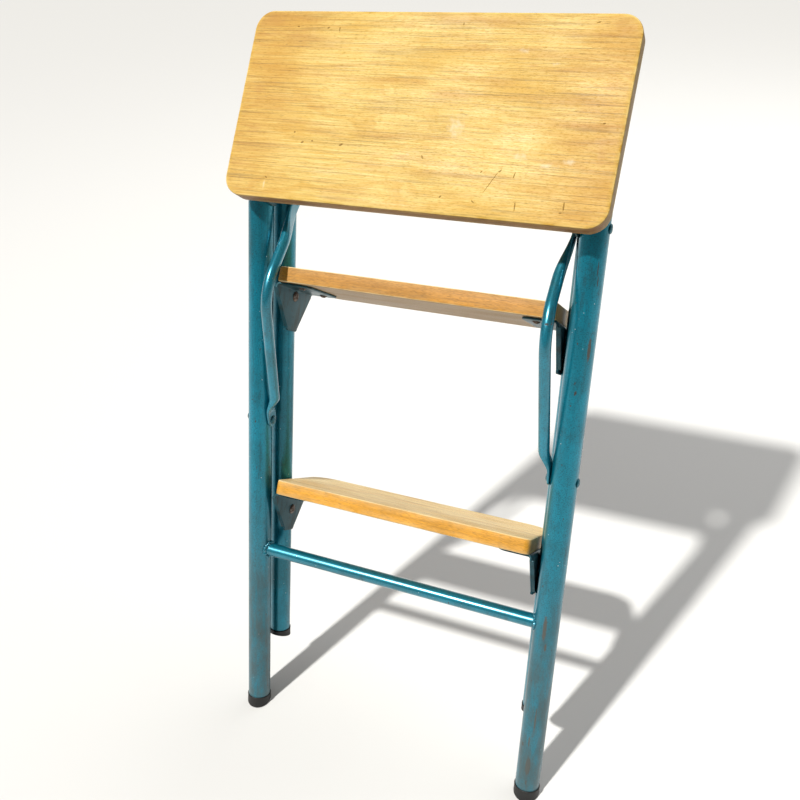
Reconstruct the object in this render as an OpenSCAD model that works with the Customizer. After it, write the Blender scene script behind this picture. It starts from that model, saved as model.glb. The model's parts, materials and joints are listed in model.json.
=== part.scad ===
// Folding two-tread step stool, folded.
// The front legs lean back as they do when the stool stands open, so that opening the
// hinges puts all four feet on the floor (z = 0) and makes the seat and treads level.
// +X is to the right, -Y is the side away from the climber, +Z is up.

/* [Front frame] */
// Outer diameter of the front leg tubes
front_tube_d = 28; // [26:1:30]
// Distance between the axes of the front legs
front_span = 366; // [360:2:380]
// Length of a front leg from its sole to the seat hinge
front_leg_len = 655; // [600:5:700]
// Lean of the front legs from upright, in degrees
front_lean = 17; // [14:0.5:18]
// Outer diameter of the cross bar
bar_d = 16; // [12:1:20]
// Height of the cross bar along the leg
bar_height = 226; // [150:1:300]

/* [Step frame] */
// Outer diameter of the rear leg tubes
rear_tube_d = 26; // [24:1:28]
// Distance between the axes of the rear legs
rear_span = 346; // [340:2:350]
// How far the rear soles hang above the front ones when folded
foot_lift = 84; // [70:1:100]
// Wall of every leg tube
tube_wall = 1.5; // [1:0.1:2.5]

/* [Seat] */
// Width of the seat board
seat_w = 402; // [390:1:420]
// Depth of the seat board
seat_d = 198; // [180:1:220]
// Thickness of the seat board
seat_t = 20; // [16:1:24]
// Corner radius of the seat board
seat_corner = 20; // [10:1:30]
// Angle between the folded seat and the legs, in degrees
seat_fold = 21; // [18:0.5:24]
// Distance between the two seat hinges
hinge_gap = 94.6; // [88:0.2:100]
// Distance of the front hinge behind the seat's front edge
hinge_inset = 14.5; // [10:0.5:20]
// Distance of both hinges below the seat
hinge_drop = 26; // [22:0.5:32]

/* [Treads] */
// Depth of each tread
tread_d = 118; // [95:1:122]
// Thickness of each tread
tread_t = 17; // [14:1:20]
// How far each tread reaches in front of its legs' axes, at its underside
tread_reach = 48; // [40:0.5:55]
// Corner radius on the side away from the climber
tread_corner_front = 8; // [4:1:20]
// Corner radius on the climber's side
tread_corner_back = 28; // [10:1:35]
// Height of the lower tread's top when open
lower_step = 216; // [200:1:230]
// Height of the upper tread's top when open
upper_step = 460; // [440:1:470]

/* [Struts] */
// Outer diameter of the struts
strut_d = 12; // [10:0.5:13]
// Height of the strut's lower pivot along the front leg
strut_pivot = 397; // [380:1:410]
// How far the strut's bend stands in front of its lower pivot
knee_reach = 38.5; // [30:0.5:45]
// Height of the strut's bend above its lower pivot
knee_rise = 163; // [150:1:175]
// Bend radius of the strut's axis
knee_radius = 60; // [40:1:70]

/* [Hidden] */
$fn = 48;

// Paints and finishes
paint = [0.13, 0.45, 0.50];
beech = [0.88, 0.68, 0.38];
black_rubber = [0.06, 0.06, 0.06];
dark_steel = [0.32, 0.28, 0.25];

// Small sizes that most pieces share
plate_t = 2.5;          // hinge plates and gussets
gap = 0.3;              // between faces that turn past each other
pin_clear = 0.05;       // radial clearance of a pivot in its hole
hinge_pin_r = 3.5;
strut_pin_r = 3;
rivet_head_h = 2;
tube_end = 14;          // tube past its upper hinge
sole_t = 6;             // rubber under the tube's end
foot_h = 11.5;          // height of a rubber foot
foot_wall = 1;          // how much wider than the tube it is
eps = 0.01;

// Radii and offsets across the stool
front_r = front_tube_d / 2;
rear_r = rear_tube_d / 2;
strut_r = strut_d / 2;
front_x = front_span / 2;
rear_x = rear_span / 2;
front_in = front_x - front_r;     // inner side of a front leg
rear_in = rear_x - rear_r;        // inner side of a rear leg
foot_r = front_r + foot_wall;

// The linkage, in the plane of the front legs: [back, up along the leg]
rear_offset = hinge_gap * sin(seat_fold);
rear_leg_len = front_leg_len + hinge_gap * cos(seat_fold) - foot_lift;
rear_lean = acos(front_leg_len * cos(front_lean) / rear_leg_len);
seat_turn = 90 - front_lean - seat_fold;
leg_spread = front_lean + rear_lean;
front_hinge = [0, front_leg_len];
rear_hinge = [rear_offset, foot_lift + rear_leg_len];
rear_hinge_open = front_hinge + hinge_gap * [cos(front_lean), sin(front_lean)];
// Where the strut meets the rear leg: its distance below the rear hinge is the one
// that keeps the strut's length the same folded and open.
from_pivot = rear_hinge - [0, strut_pivot];
from_pivot_open = rear_hinge_open - [0, strut_pivot];
down_leg = [0, -1];
down_leg_open = [sin(leg_spread), -cos(leg_spread)];
strut_top_drop = (from_pivot_open * from_pivot_open - from_pivot * from_pivot)
    / (2 * (from_pivot * down_leg - from_pivot_open * down_leg_open));
strut_top = from_pivot + strut_top_drop * down_leg;         // from the strut's lower pivot
strut_top_open = from_pivot_open + strut_top_drop * down_leg_open;
strut_turn = atan2(strut_top_open[0], strut_top_open[1]) - atan2(strut_top[0], strut_top[1]);

// The origin is under the middle of the folded stool's box.
y_front = -foot_r / cos(front_lean);
y_back = front_leg_len * sin(front_lean) + (seat_d - hinge_inset) * cos(seat_turn)
    - hinge_drop * sin(seat_turn);
y_shift = -(y_front + y_back) / 2;

// ---- Frames -------------------------------------------------------------

// Front legs' frame: origin at the sole, Z along the leg.
module on_front() {
    translate([0, y_shift, 0]) rotate([-front_lean, 0, 0]) children();
}

// Rear legs' frame, folded: origin at the sole, Z along the leg.
module on_rear() {
    on_front() translate([0, rear_offset, foot_lift]) children();
}

// Frame in which the treads are level, with the same origin as the rear legs' frame.
module on_steps() {
    on_rear() rotate([-rear_lean, 0, 0]) children();
}

// Seat's frame: origin on the front hinge, Y along the seat, Z out of its top.
module on_seat() {
    on_front() translate([0, 0, front_leg_len]) rotate([90 - seat_fold, 0, 0]) children();
}

// Strut's frame: origin on its lower pivot.
module on_strut() {
    on_front() translate([0, 0, strut_pivot]) children();
}

module on_side(side) {
    if (side < 0) mirror([1, 0, 0]) children();
    else children();
}

// Place of a tread's underside on the rear leg's axis, in the treads' frame.
function tread_y(step) = -(step - tread_t) * tan(rear_lean);

// ---- Shared shapes ------------------------------------------------------

// Round bar along +X from x0 to x1.
module bar_x(r, x0, x1) {
    translate([x0, 0, 0]) rotate([0, 90, 0]) cylinder(r = r, h = x1 - x0);
}

// Points of a low dome's outline, from its top on the axis to its rim: [radius, height].
function dome_outline(r, h) = let (ball = (r * r + h * h) / (2 * h), half = asin(r / ball))
    [for (i = [0:8]) [ball * sin(half * i / 8), ball * cos(half * i / 8) - ball + h]];

// Low dome on the plane z = 0, towards +Z.
module dome(r, h) {
    rotate_extrude() polygon(concat([[0, 0]], dome_outline(r, h)));
}

// Rivet along X: its grip runs from x0 to x1, with a dome on the inner end and, unless it
// is told otherwise, one on the outer end.
module rivet(pin_r, head_r, x0, x1, outer_head = true) {
    grip = x1 - x0;
    inner = [for (p = dome_outline(head_r, rivet_head_h)) [p[0], -p[1]]];
    outer = [for (p = dome_outline(head_r, rivet_head_h)) [p[0], grip + p[1]]];
    outer_points = [for (i = [len(outer) - 1:-1:0]) outer[i]];
    translate([x0, 0, 0]) rotate([0, 90, 0]) rotate_extrude()
        polygon(concat(inner, [[pin_r, 0], [pin_r, grip]], outer_head ? outer_points : [[0, grip]]));
}

// Board outline: back corners have their own radius.
module board(w, d, t, r_front, r_back) {
    linear_extrude(t) union() {
        polygon([
            [-w / 2, r_front], [r_front - w / 2, 0], [w / 2 - r_front, 0], [w / 2, r_front],
            [w / 2, d - r_back], [w / 2 - r_back, d], [r_back - w / 2, d], [-w / 2, d - r_back]
        ]);
        for (s = [-1, 1]) {
            translate([s * (w / 2 - r_front), r_front]) circle(r_front, $fn = 96);
            translate([s * (w / 2 - r_back), d - r_back]) circle(r_back, $fn = 96);
        }
    }
}

// Everything above the plane through the origin that tilts with the given lean.
module above_sole(lean) {
    rotate([lean, 0, 0]) translate([-50, -50, 0]) cube([100, 100, 100]);
}

// Rubber foot on a leg whose sole is cut to lie flat on the floor.
module foot(tube_r, lean) {
    color(black_rubber) intersection() {
        above_sole(lean);
        difference() {
            translate([0, 0, -foot_h]) cylinder(r = tube_r + foot_wall, h = 2 * foot_h);
            translate([0, 0, sole_t]) cylinder(r = tube_r, h = foot_h);
        }
    }
}

// Tube along Z from above the sole to past its hinge.
module leg_tube(r, len) {
    difference() {
        translate([0, 0, sole_t]) cylinder(r = r, h = len + tube_end - sole_t);
        translate([0, 0, sole_t - 1]) cylinder(r = r - tube_wall, h = len + tube_end - sole_t + 2);
    }
}

// Plug in a tube's upper end: a thin flange and a short spigot.
module plug(r, len) {
    flange_t = 2;
    spigot = 6;
    color(black_rubber) translate([0, 0, len + tube_end]) union() {
        cylinder(r = r - 0.5, h = flange_t);
        translate([0, 0, -spigot]) cylinder(r = r - tube_wall, h = spigot + eps);
    }
}

// ---- Front frame --------------------------------------------------------

module front_leg(side) {
    color(paint) on_front() on_side(side) translate([front_x, 0, 0]) difference() {
        leg_tube(front_r, front_leg_len);
        translate([0, 0, front_leg_len]) bar_x(hinge_pin_r, -2 * front_r, 2 * front_r);
        translate([0, 0, strut_pivot]) bar_x(strut_pin_r, -2 * front_r, 2 * front_r);
    }
}

module cross_bar() {
    color(paint) on_front() difference() {
        translate([0, 0, bar_height]) bar_x(bar_d / 2, -front_x, front_x);
        for (s = [-1, 1])
            translate([s * front_x, 0, bar_height - bar_d]) cylinder(r = front_r, h = 2 * bar_d);
    }
}

module front_foot(side) {
    on_front() translate([side * front_x, 0, 0]) foot(front_r, front_lean);
}

module front_plug(side) {
    on_front() translate([side * front_x, 0, 0]) plug(front_r, front_leg_len);
}

module front_hinge_rivets() {
    inner = front_in - plate_t - 2 * gap;
    color(dark_steel) for (s = [-1, 1])
        on_front() on_side(s) translate([0, 0, front_leg_len])
            rivet(hinge_pin_r, 5, inner, front_x + front_r);
}

module strut_pivot_rivets() {
    inner = front_in - flat_t - 2 * gap;
    color(dark_steel) for (s = [-1, 1])
        on_strut() on_side(s) rivet(strut_pin_r, 5, inner, front_x + front_r);
}

// ---- Step frame ---------------------------------------------------------

// Each gusset has one rivet into its leg, this far below the tread.
function rivet_drop(step) = step == upper_step ? 10 : 23;
rivet_r = 2.5;
function gusset_rivet_z(step) = (step - tread_t - rivet_drop(step)) / cos(rear_lean);

module rear_leg(side) {
    color(paint) on_rear() on_side(side) translate([rear_x, 0, 0]) difference() {
        leg_tube(rear_r, rear_leg_len);
        translate([0, 0, rear_leg_len]) bar_x(hinge_pin_r, -2 * rear_r, 2 * rear_r);
        for (step = [lower_step, upper_step])
            translate([0, 0, gusset_rivet_z(step)]) bar_x(rivet_r, -2 * rear_r, 0);
    }
}

module rear_foot(side) {
    on_rear() translate([side * rear_x, 0, 0]) foot(rear_r, -rear_lean);
}

module rear_plug(side) {
    on_rear() translate([side * rear_x, 0, 0]) plug(rear_r, rear_leg_len);
}

// Places of the screws under a tread, behind the leg's axis and in from the gusset.
screw_ys = [-26, 26];
screw_in = 26;
screw_r = 2;
screw_len = 12;
tread_w = 2 * (rear_in - plate_t - 0.5);

module on_tread_screws(step) {
    for (s = [-1, 1], y = screw_ys)
        translate([s * (rear_in - screw_in), tread_y(step) + y, step - tread_t]) children();
}

module tread(step) {
    color(beech) on_steps() difference() {
        translate([0, tread_y(step) - tread_reach, step - tread_t])
            board(tread_w, tread_d, tread_t, tread_corner_front, tread_corner_back);
        on_tread_screws(step) translate([0, 0, -eps]) cylinder(r = screw_r, h = screw_len - plate_t + eps);
    }
}

// Stamped gusset: a triangle against the leg, a flange under the tread and a lip
// turned out along the sloping front edge.
gusset_half = 41;
gusset_depth = 50;
gusset_tip = 12;
flange_reach = 40;
lip_w = 8;

module tread_bracket(step, side) {
    tip_y = gusset_depth * tan(rear_lean) - 8;
    slope = atan2(gusset_half - gusset_tip + tip_y, gusset_depth - 8);
    lip_len = norm([gusset_half - gusset_tip + tip_y, gusset_depth - 8]);
    color(paint) on_steps() on_side(side) translate([rear_in, tread_y(step), step - tread_t])
        difference() {
            union() {
                // Triangle, drawn as [back, up] and stood on the leg's inner side
                rotate([90, 0, 90]) translate([0, 0, -plate_t]) linear_extrude(plate_t)
                    polygon([
                        [-gusset_half, 0], [gusset_half, 0], [gusset_half, -6],
                        [tip_y + gusset_tip, -gusset_depth],
                        [tip_y - gusset_tip, -gusset_depth], [-gusset_half, -6]
                    ]);
                // Flange under the tread
                translate([-flange_reach, -gusset_half, -plate_t]) union() {
                    translate([12, 0, 0]) cube([flange_reach - 12, 2 * gusset_half, plate_t]);
                    translate([0, 12, 0]) cube([flange_reach, 2 * gusset_half - 24, plate_t]);
                    for (y = [12, 2 * gusset_half - 12])
                        translate([12, y, 0]) cylinder(r = 12, h = plate_t);
                }
                // Lip along the front edge
                translate([-plate_t, -gusset_half, -7]) rotate([slope - 90, 0, 0])
                    cube([lip_w, lip_len, 1.8]);
            }
            for (y = screw_ys)
                translate([-screw_in, y, -2 * plate_t]) cylinder(r = screw_r, h = 3 * plate_t);
            translate([0, rivet_drop(step) * tan(rear_lean), -rivet_drop(step)])
                bar_x(rivet_r, -2 * plate_t, plate_t);
        }
}

module bracket_rivets() {
    color(dark_steel) for (s = [-1, 1], step = [lower_step, upper_step])
        on_rear() on_side(s) translate([0, 0, gusset_rivet_z(step)])
            rivet(rivet_r, 6, rear_in - plate_t, rear_in + tube_wall, false);
}

// Round-headed wood screw, point up, from the underside of a plate.
module wood_screw() {
    union() {
        translate([0, 0, -plate_t - eps]) cylinder(r = screw_r, h = screw_len - 0.5);
        translate([0, 0, -plate_t]) mirror([0, 0, 1]) dome(4.5, 2.4);
    }
}

module tread_screws() {
    color(dark_steel) on_steps() for (step = [lower_step, upper_step])
        on_tread_screws(step) wood_screw();
}

module rear_hinge_rivets() {
    inner = rear_in - plate_t - 2 * gap;
    color(dark_steel) for (s = [-1, 1])
        on_rear() on_side(s) translate([0, 0, rear_leg_len])
            rivet(hinge_pin_r, 5, inner, rear_x + rear_r);
}

// ---- Seat ---------------------------------------------------------------

// A hinge plate is a flange under the seat and an ear beside the leg.
ear_r = 11;
ear_half = 17;
seat_flange_w = 28;
seat_flange_half = 24;
seat_screw_y = 15;

// Places of the plates: [distance behind the front hinge, outer face of the ear]
front_plate = [0, front_in - gap];
rear_plate = [hinge_gap, rear_in - gap];
// The front flange reaches further back than forward, to stay on the board.
front_flange_shift = 14;

module hinge_plate(place, shift, side) {
    color(paint) on_seat() on_side(side) translate([place[1], place[0], 0]) difference() {
        union() {
            rotate([90, 0, 90]) translate([0, 0, -plate_t]) linear_extrude(plate_t) union() {
                circle(ear_r);
                polygon([
                    [-ear_r, 0], [ear_r, 0], [shift + seat_flange_half, hinge_drop - 6],
                    [shift + seat_flange_half, hinge_drop], [shift - seat_flange_half, hinge_drop],
                    [shift - seat_flange_half, hinge_drop - 6]
                ]);
            }
            translate([-seat_flange_w, shift - seat_flange_half, hinge_drop - plate_t])
                cube([seat_flange_w, 2 * seat_flange_half, plate_t]);
        }
        bar_x(hinge_pin_r + pin_clear, -2 * plate_t, plate_t);
        for (y = [-seat_screw_y, seat_screw_y])
            translate([-seat_flange_w / 2, shift + y, hinge_drop - 2 * plate_t])
                cylinder(r = screw_r, h = 3 * plate_t);
    }
}

module on_seat_screws() {
    for (s = [-1, 1], place = [[front_plate, front_flange_shift], [rear_plate, 0]],
         y = [-seat_screw_y, seat_screw_y])
        translate([s * (place[0][1] - seat_flange_w / 2), place[0][0] + place[1] + y, hinge_drop])
            children();
}

module seat_board() {
    color(beech) on_seat() difference() {
        translate([0, -hinge_inset, hinge_drop]) board(seat_w, seat_d, seat_t, seat_corner, seat_corner);
        on_seat_screws() translate([0, 0, -eps]) cylinder(r = screw_r, h = screw_len - plate_t + eps);
    }
}

module seat_screws() {
    color(dark_steel) on_seat() on_seat_screws() wood_screw();
}

// ---- Struts -------------------------------------------------------------

// A strut is a bent tube beside the rear leg. Its ends are pressed flat: the lower one
// steps out to the front leg, and the upper one lies on the rear leg.
flat_t = 3;
flat_r = 8;
strut_x = rear_in - 0.5 - strut_r;        // tube from the bend upwards
strut_low_x = rear_in + 1;                // the tube's line carried down to the pivot
low_flat_x = front_in - gap;            // outer face of the lower flat
top_flat_x = rear_in - gap;             // outer face of the upper flat
low_flat_len = 11;                      // flat, from the pivot
low_round_at = 31;                      // fully round from here on
top_flat_len = 9;
top_round_at = 58;

// The strut's axis in side view: straight, one bend, straight.
knee = [-knee_reach, knee_rise];
low_dir = knee / norm(knee);
top_dir = (strut_top - knee) / norm(strut_top - knee);
low_angle = atan2(low_dir[0], low_dir[1]);
knee_angle = atan2(top_dir[0], top_dir[1]) - low_angle;
knee_cut = knee_radius * tan(knee_angle / 2);
bend_from = norm(knee) - knee_cut;
bend_to = bend_from + knee_radius * knee_angle * PI / 180;
strut_len = bend_to + norm(strut_top - knee) - knee_cut;
bend_centre = bend_from * low_dir + knee_radius * [low_dir[1], -low_dir[0]];

// Angle from upright at a distance along the axis, and the point there: [back, up].
function strut_angle(s) = low_angle + knee_angle * min(max((s - bend_from) / (bend_to - bend_from), 0), 1);
function strut_point(s) =
    s < bend_from ? s * low_dir
    : s > bend_to ? strut_top - (strut_len - s) * top_dir
    : bend_centre + knee_radius * [-cos(strut_angle(s)), sin(strut_angle(s))];

// How round the section is, from 0 on a flat to 1 on the tube.
function ease(t) = let (u = min(max(t, 0), 1)) u * u * (3 - 2 * u);
function roundness(s) = s < strut_len / 2
    ? ease((s - low_flat_len) / (low_round_at - low_flat_len))
    : ease((strut_len - s - top_flat_len) / (top_round_at - top_flat_len));
function mix(a, b, t) = a + (b - a) * t;
// The ends are half discs about the pivots.
function past_pivot(s) = max(-s, s - strut_len, 0);
function half_width(s) = sqrt(pow(mix(flat_r, strut_r, roundness(s)), 2) - pow(past_pivot(s), 2));
function half_thick(s) = mix(flat_t / 2, strut_r, roundness(s));
function tube_x(s) = mix(strut_low_x, strut_x, min(max(s / bend_to, 0), 1));
function centre_x(s) = let (flat_x = s < strut_len / 2 ? low_flat_x : top_flat_x)
    mix(flat_x - flat_t / 2, tube_x(s), roundness(s));

// One section as a ring of points: an ellipse on the tube, squarer on the flats.
ring_sides = 24;
function squared(v, n) = sign(v) * pow(abs(v), 2 / n);
function strut_ring(s) =
    let (p = strut_point(s), a = strut_angle(s), n = mix(7, 2, roundness(s)))
    [for (i = [0:ring_sides - 1])
        let (t = 360 * i / ring_sides,
             across = half_thick(s) * squared(cos(t), n), along = half_width(s) * squared(sin(t), n))
        [centre_x(s) + across, p[0] + along * cos(a), p[1] - along * sin(a)]];

end_steps = [for (t = [12:13:90]) flat_r * cos(t)];
ring_places = concat(
    [for (d = end_steps) -d], [0, low_flat_len],
    [for (i = [1:8]) mix(low_flat_len, low_round_at, i / 8)],
    [for (i = [0:10]) mix(bend_from, bend_to, i / 10)],
    [for (i = [0:7]) strut_len - mix(top_round_at, top_flat_len, i / 8)],
    [strut_len - top_flat_len, strut_len], [for (i = [len(end_steps) - 1:-1:0]) strut_len + end_steps[i]]
);

module strut_tube() {
    rings = len(ring_places);
    last = (rings - 1) * ring_sides;
    polyhedron(
        points = [for (s = ring_places) each strut_ring(s)],
        faces = concat(
            [[for (i = [0:ring_sides - 1]) i]],
            [[for (i = [ring_sides - 1:-1:0]) last + i]],
            [for (r = [0:rings - 2], i = [0:ring_sides - 1])
                let (j = (i + 1) % ring_sides, base = r * ring_sides)
                each [[base + i, base + ring_sides + i, base + j],
                      [base + j, base + ring_sides + i, base + ring_sides + j]]]
        )
    );
}

module strut(side) {
    color(paint) on_strut() on_side(side) difference() {
        strut_tube();
        bar_x(strut_pin_r + pin_clear, low_flat_x - 10, low_flat_x + 1);
        translate([0, strut_top[0], strut_top[1]]) bar_x(strut_pin_r, top_flat_x - 10, top_flat_x + 1);
    }
}

module strut_rivet(side) {
    color(dark_steel) on_strut() on_side(side) translate([0, strut_top[0], strut_top[1]])
        rivet(strut_pin_r, 5, top_flat_x - flat_t, top_flat_x, false);
}

front_leg(-1);  // front_leg_left
front_leg(1);  // front_leg_right
cross_bar();
front_foot(-1);  // front_foot_left
front_foot(1);  // front_foot_right
front_plug(-1);  // front_plug_left
front_plug(1);  // front_plug_right
front_hinge_rivets();
strut_pivot_rivets();
rear_leg(-1);  // rear_leg_left
rear_leg(1);  // rear_leg_right
rear_foot(-1);  // rear_foot_left
rear_foot(1);  // rear_foot_right
rear_plug(-1);  // rear_plug_left
rear_plug(1);  // rear_plug_right
tread(upper_step);  // upper_tread
tread(lower_step);  // lower_tread
tread_bracket(upper_step, -1);  // tread_bracket_upper_left
tread_bracket(upper_step, 1);  // tread_bracket_upper_right
tread_bracket(lower_step, -1);  // tread_bracket_lower_left
tread_bracket(lower_step, 1);  // tread_bracket_lower_right
bracket_rivets();
tread_screws();
rear_hinge_rivets();
seat_board();
hinge_plate(front_plate, front_flange_shift, -1);  // hinge_plate_front_left
hinge_plate(front_plate, front_flange_shift, 1);  // hinge_plate_front_right
hinge_plate(rear_plate, 0, -1);  // hinge_plate_rear_left
hinge_plate(rear_plate, 0, 1);  // hinge_plate_rear_right
seat_screws();
strut(-1);  // strut_left
strut(1);  // strut_right
strut_rivet(-1);  // strut_rivet_left
strut_rivet(1);  // strut_rivet_right
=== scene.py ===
"""Folding two-tread step stool, folded: teal tube frame, beech seat and treads, rubber feet.

Lengths are in metres. Each piece is modelled in its own frame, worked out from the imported
model, and rides on its CAD body.
"""

import json
import math

import bmesh
import bpy
from mathutils import Matrix, Vector, noise


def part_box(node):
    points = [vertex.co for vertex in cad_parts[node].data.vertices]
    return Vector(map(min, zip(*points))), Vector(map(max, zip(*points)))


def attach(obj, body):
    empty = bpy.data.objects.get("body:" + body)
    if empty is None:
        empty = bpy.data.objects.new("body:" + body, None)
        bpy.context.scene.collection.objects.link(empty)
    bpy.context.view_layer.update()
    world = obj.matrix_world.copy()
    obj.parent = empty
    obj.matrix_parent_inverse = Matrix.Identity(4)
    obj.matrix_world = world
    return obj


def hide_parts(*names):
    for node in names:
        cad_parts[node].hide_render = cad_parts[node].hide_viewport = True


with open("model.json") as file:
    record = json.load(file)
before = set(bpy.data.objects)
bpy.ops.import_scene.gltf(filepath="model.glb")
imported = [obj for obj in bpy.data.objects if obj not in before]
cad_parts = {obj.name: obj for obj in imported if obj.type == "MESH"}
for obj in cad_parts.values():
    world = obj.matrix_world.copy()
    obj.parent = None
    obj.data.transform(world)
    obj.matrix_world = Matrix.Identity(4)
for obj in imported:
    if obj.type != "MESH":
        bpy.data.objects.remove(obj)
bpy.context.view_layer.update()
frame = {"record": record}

MM = 0.001
SIDES = {"left": -1, "right": 1}


# ---- Frames of the linkage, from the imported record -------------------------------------

behaviour = frame["record"]["behaviour"]
joints = {joint["name"]: joint for joint in behaviour["joints"]}
ratios = {coupling["joint"]: coupling["ratio"] for coupling in behaviour["couplings"]}
mounts = {mount["name"]: mount for mount in frame["record"]["mounts"]}

front_sole = Vector(mounts["front_sole_right"]["pos_m"])
front_hinge = Vector(joints["seat_hinge"]["pos_m"])
rear_hinge = Vector(joints["step_frame_hinge"]["pos_m"])
strut_foot = Vector(joints["left_strut_pivot"]["pos_m"])
strut_head = (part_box("strut_rivet_left")[0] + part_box("strut_rivet_left")[1]) / 2

lean = math.atan2(front_hinge.y - front_sole.y, front_hinge.z - front_sole.z)
front_len = math.hypot(front_hinge.y - front_sole.y, front_hinge.z - front_sole.z)
seat_turn = math.radians(joints["seat_hinge"]["range_deg"][1])
leg_spread = seat_turn * (ratios["step_frame_hinge"] - 1)
rear_lean = leg_spread - lean
rear_len = front_len * math.cos(lean) / math.cos(rear_lean)
hinge_gap = (rear_hinge - front_hinge).length


def turned(angle):
    return Matrix.Rotation(angle, 4, "X")


def moved(x, y, z):
    return Matrix.Translation((x, y, z))


# Legs' frames have Z along the leg, and their origin at the front sole or the rear hinge.
FRONT = moved(0, front_sole.y, 0) @ turned(-lean)
REAR = moved(0, rear_hinge.y, rear_hinge.z) @ turned(-lean)
# In the treads' frame the treads are level. Its origin is on the rear soles.
STEPS = REAR @ moved(0, 0, -rear_len) @ turned(-rear_lean)
# The seat's frame has Y along the seat, Z out of its top and its origin on the front hinge.
SEAT = moved(0, front_hinge.y, front_hinge.z) @ turned(seat_turn)
# The strut's frame has Z along the front leg and its origin on the strut's lower rivet.
STRUT = moved(0, strut_foot.y, strut_foot.z) @ turned(-lean)


def half_width(node):
    low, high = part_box(node)
    return (high.x - low.x) / 2


def middle(node):
    low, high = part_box(node)
    return (low + high) / 2


front_r = half_width("front_leg_right")
rear_r = half_width("rear_leg_right")
front_x = middle("front_leg_right").x
rear_x = middle("rear_leg_right").x
front_in = front_x - front_r
rear_in = rear_x - rear_r

# Thicknesses, the plates' inner bend radius and a clearance that pieces share
PLATE_T, BEND_R = 2.5 * MM, 2.2 * MM
GAP = 0.3 * MM
TUBE_WALL = 1.5 * MM


# ---- Mesh building ---------------------------------------------------------------------


def circle(radius, height, turns=64):
    """Level ring of points about Z."""
    angles = [2 * math.pi * i / turns for i in range(turns)]
    return [(radius * math.cos(a), radius * math.sin(a), height) for a in angles]


class Shape:
    """Points and faces of one piece, in its own frame. wear is 1 where an edge is rubbed."""

    def __init__(self):
        self.points, self.faces, self.wear = [], [], []

    def rings(self, rings, wear=None, caps=True):
        """Joins closed rings of points in order, and caps both ends if it should."""
        start, count = len(self.points), len(rings[0])
        for number, ring in enumerate(rings):
            self.points += [Vector(point) for point in ring]
            self.wear += [wear[number] if wear else 0.0] * count
        for row in range(len(rings) - 1):
            base = start + row * count
            for i in range(count):
                j = (i + 1) % count
                self.faces.append((base + i, base + j, base + count + j, base + count + i))
        if caps:
            last = start + (len(rings) - 1) * count
            self.faces.append(tuple(range(start + count - 1, start - 1, -1)))
            self.faces.append(tuple(range(last, last + count)))
        return self

    def lathe(self, outline, place=Matrix.Identity(4), turns=64, closed=False):
        """Turns [radius, height] points about Z. A closed outline is a loop, as of a pipe."""
        rows = outline + outline[:1] if closed else outline
        rings = [[place @ Vector(point) for point in circle(radius, height, turns)]
                 for radius, height in rows]
        return self.rings(rings, caps=not closed)

    def move(self, matrix):
        self.points = [matrix @ point for point in self.points]
        return self


def arc(centre_x, centre_y, radius, start, end, steps):
    """Points on an arc, with its angles in degrees."""
    angles = [math.radians(start + (end - start) * i / steps) for i in range(steps + 1)]
    return [(centre_x + radius * math.cos(a), centre_y + radius * math.sin(a)) for a in angles]


def piece(name, shape, place, body, material, replaces=(), sharp=35):
    """Makes the object, places it and ties it to its CAD body."""
    mesh = bpy.data.meshes.new(name)
    mesh.from_pydata(shape.points, [], shape.faces)
    wear = mesh.attributes.new("wear", "FLOAT", "POINT")
    wear.data.foreach_set("value", shape.wear)
    work = bmesh.new()
    work.from_mesh(mesh)
    bmesh.ops.remove_doubles(work, verts=work.verts, dist=1e-6)
    bmesh.ops.recalc_face_normals(work, faces=work.faces)
    work.to_mesh(mesh)
    work.free()
    mesh.shade_smooth()
    mesh.set_sharp_from_angle(angle=math.radians(sharp))
    mesh.materials.append(material)
    thing = bpy.data.objects.new(name, mesh)
    bpy.context.scene.collection.objects.link(thing)
    thing.matrix_world = place
    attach(thing, body)
    if replaces:
        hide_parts(*replaces)
    return thing


# ---- Material building -----------------------------------------------------------------


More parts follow.
